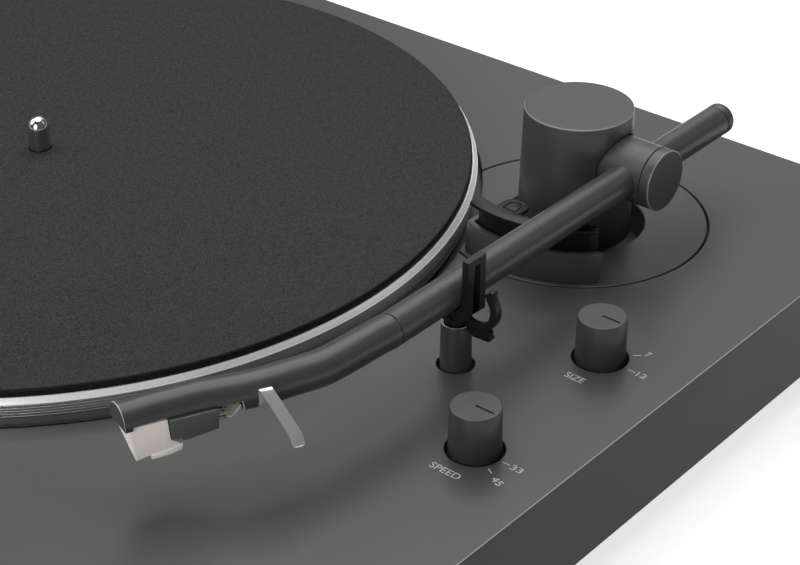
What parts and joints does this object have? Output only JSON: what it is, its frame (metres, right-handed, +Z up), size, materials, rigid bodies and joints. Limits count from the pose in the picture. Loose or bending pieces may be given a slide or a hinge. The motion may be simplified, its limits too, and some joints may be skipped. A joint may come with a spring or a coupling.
{
  "type": "turntable",
  "caption": "Automatic belt-drive turntable with a flat dark plinth, a die-cast platter under a black mat, and an arm whose tube bends into its own head.",
  "frame": {"origin": "on the table, under the middle of the plinth", "axes": "+Z up, +Y to the back, +X to the right, where the arm is"},
  "size_m": [0.43, 0.366, 0.0861],
  "materials": {
    "case": "satin",
    "black_plastic": "matte",
    "rubber": "matte",
    "aluminium": "brushed",
    "steel": "satin",
    "chrome": "polished",
    "brass": "satin",
    "arm_metal": "satin",
    "white_plastic": "satin",
    "cartridge": "satin",
    "stylus_guard": "satin",
    "circuit_board": "matte"
  },
  "bodies": {
    "root": {"plinth_shell": "case", "arm_base": "case", "lifter_housing": "case", "base_cover": "black_plastic", "clip_bracket": "black_plastic", "speed_switch": "black_plastic", "size_switch": "black_plastic", "rear_panel": "black_plastic", "power_inlet": "black_plastic", "foot_front_left": "rubber", "foot_front_right": "rubber", "foot_rear_left": "rubber", "foot_rear_right": "rubber", "drive_belt": "rubber", "motor_cushion": "rubber", "base_screw_front_left": "steel", "base_screw_front_right": "steel", "base_screw_rear_left": "steel", "base_screw_rear_right": "steel", "motor_can": "steel", "motor_bracket": "steel", "latch_pin": "steel", "bearing_bush": "brass", "arm_bearing": "brass", "output_jacks": "brass", "rest_post": "arm_metal", "thrust_pad": "white_plastic", "button_board": "circuit_board", "main_board": "circuit_board"},
    "platter_assembly": {"platter": "aluminium", "slip_mat": "rubber", "spindle": "chrome", "hub_gear": "white_plastic"},
    "pulley": {"motor_pulley": "brass"},
    "cam": {"cam_gear": "white_plastic"},
    "lever": {"drive_lever": "steel"},
    "turret_assembly": {"turret": "arm_metal", "arm_shaft": "steel", "arm_sector": "steel", "lift_axle": "steel"},
    "tonearm": {"barrel": "arm_metal", "barrel_cap": "arm_metal", "arm_tube": "arm_metal", "arm_end_cap": "arm_metal", "counterweight": "steel", "headshell": "arm_metal", "cartridge_body": "cartridge", "lead_wires": "black_plastic", "stylus_holder": "stylus_guard", "stylus": "steel", "finger_lift": "chrome"},
    "lifter": {"lifter_arc": "black_plastic", "lifter_shaft": "steel"},
    "latch": {"clip_latch": "black_plastic"},
    "speed_control": {"speed_knob": "case"},
    "size_control": {"size_knob": "case"},
    "start_key": {"start_button": "case"},
    "stop_key": {"stop_button": "case"},
    "lift_key": {"lift_button": "case"},
    "level_slider": {"level_switch": "black_plastic"}
  },
  "joints": [
    {"name": "platter_spin", "type": "hinge", "parent": "root", "child": "platter_assembly", "pos_m": [-0.0222, 0.0115, 0.0534], "axis": [0, 0, 1], "continuous": true},
    {"name": "pulley_spin", "type": "hinge", "parent": "root", "child": "pulley", "pos_m": [-0.112, 0.1013, 0.045], "axis": [0, 0, 1], "continuous": true},
    {"name": "cam_gear_turn", "type": "hinge", "parent": "root", "child": "cam", "pos_m": [0.02294, 0.03792, 0.043], "axis": [0, 0, 1], "continuous": true},
    {"name": "drive_lever_swing", "type": "hinge", "parent": "root", "child": "lever", "pos_m": [0.06573, 0.01429, 0.0315], "axis": [0, 0, -1], "range_deg": [0, 12]},
    {"name": "arm_sweep", "type": "hinge", "parent": "root", "child": "turret_assembly", "pos_m": [0.1333, 0.1025, 0.0453], "axis": [0, 0, -1], "range_deg": [0, 45]},
    {"name": "arm_lift", "type": "hinge", "parent": "turret_assembly", "child": "tonearm", "pos_m": [0.1333, 0.1025, 0.07066], "axis": [-1, 0, 0], "range_deg": [0, 8]},
    {"name": "lifter_rise", "type": "slide", "parent": "root", "child": "lifter", "axis": [0, 0, 1], "range_m": [0, 0.0037]},
    {"name": "latch_swing", "type": "hinge", "parent": "root", "child": "latch", "pos_m": [0.1587, 0.0108, 0.0634], "axis": [0, -1, 0], "range_deg": [0, 67]},
    {"name": "speed_turn", "type": "hinge", "parent": "root", "child": "speed_control", "pos_m": [0.1875, -0.0187, 0.0453], "axis": [0, 0, -1], "range_deg": [0, 30]},
    {"name": "size_turn", "type": "hinge", "parent": "root", "child": "size_control", "pos_m": [0.1875, 0.0405, 0.0453], "axis": [0, 0, 1], "range_deg": [0, 44]},
    {"name": "start_press", "type": "slide", "parent": "root", "child": "start_key", "axis": [0, 1, 0], "range_m": [0, 0.002], "stiffness_N_per_m": 300},
    {"name": "stop_press", "type": "slide", "parent": "root", "child": "stop_key", "axis": [0, 1, 0], "range_m": [0, 0.002], "stiffness_N_per_m": 300},
    {"name": "lift_press", "type": "slide", "parent": "root", "child": "lift_key", "axis": [0, 1, 0], "range_m": [0, 0.002], "stiffness_N_per_m": 300},
    {"name": "level_slide", "type": "slide", "parent": "root", "child": "level_slider", "axis": [1, 0, 0], "range_m": [0, 0.003]}
  ],
  "couplings": [
    {"joint": "pulley_spin", "follows": "platter_spin", "ratio": 12.687},
    {"joint": "lifter_rise", "follows": "arm_lift", "m_per_rad": 0.026}
  ]
}
